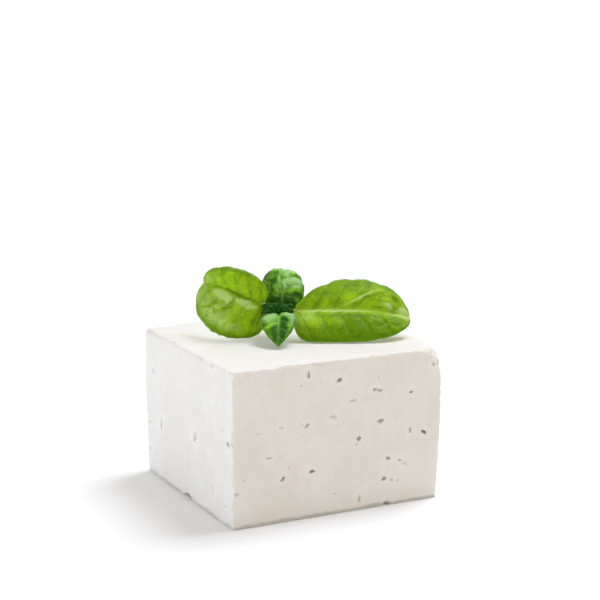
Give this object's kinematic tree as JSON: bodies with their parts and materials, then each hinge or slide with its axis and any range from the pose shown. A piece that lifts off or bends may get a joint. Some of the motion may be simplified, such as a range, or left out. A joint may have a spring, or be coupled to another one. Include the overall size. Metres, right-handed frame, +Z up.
{
  "type": "block of brined white cheese with a basil sprig",
  "caption": "Square-cut block of soft white brined cheese with small openings in its faces and a fresh basil sprig resting on top.",
  "frame": {"origin": "middle of the flat underside of the cheese", "axes": "+Z up out of the underside, -Y out of the broad front face with most of the openings, -X out of the left-hand face"},
  "size_m": [0.1042, 0.0996, 0.102],
  "materials": {
    "cheese": "moist matt curd",
    "basil_large_leaf": "waxy satin leaf",
    "basil_young_leaf": "waxy satin leaf",
    "basil_bud": "waxy satin leaf",
    "basil_stem": "smooth satin stalk"
  },
  "bodies": {
    "root": {"cheese_block": "cheese", "basil_leaf_right": "basil_large_leaf", "basil_leaf_left": "basil_large_leaf", "basil_leaf_upper": "basil_young_leaf", "basil_leaf_lower": "basil_young_leaf", "basil_bud": "basil_bud", "basil_stem": "basil_stem"}
  },
  "joints": []
}
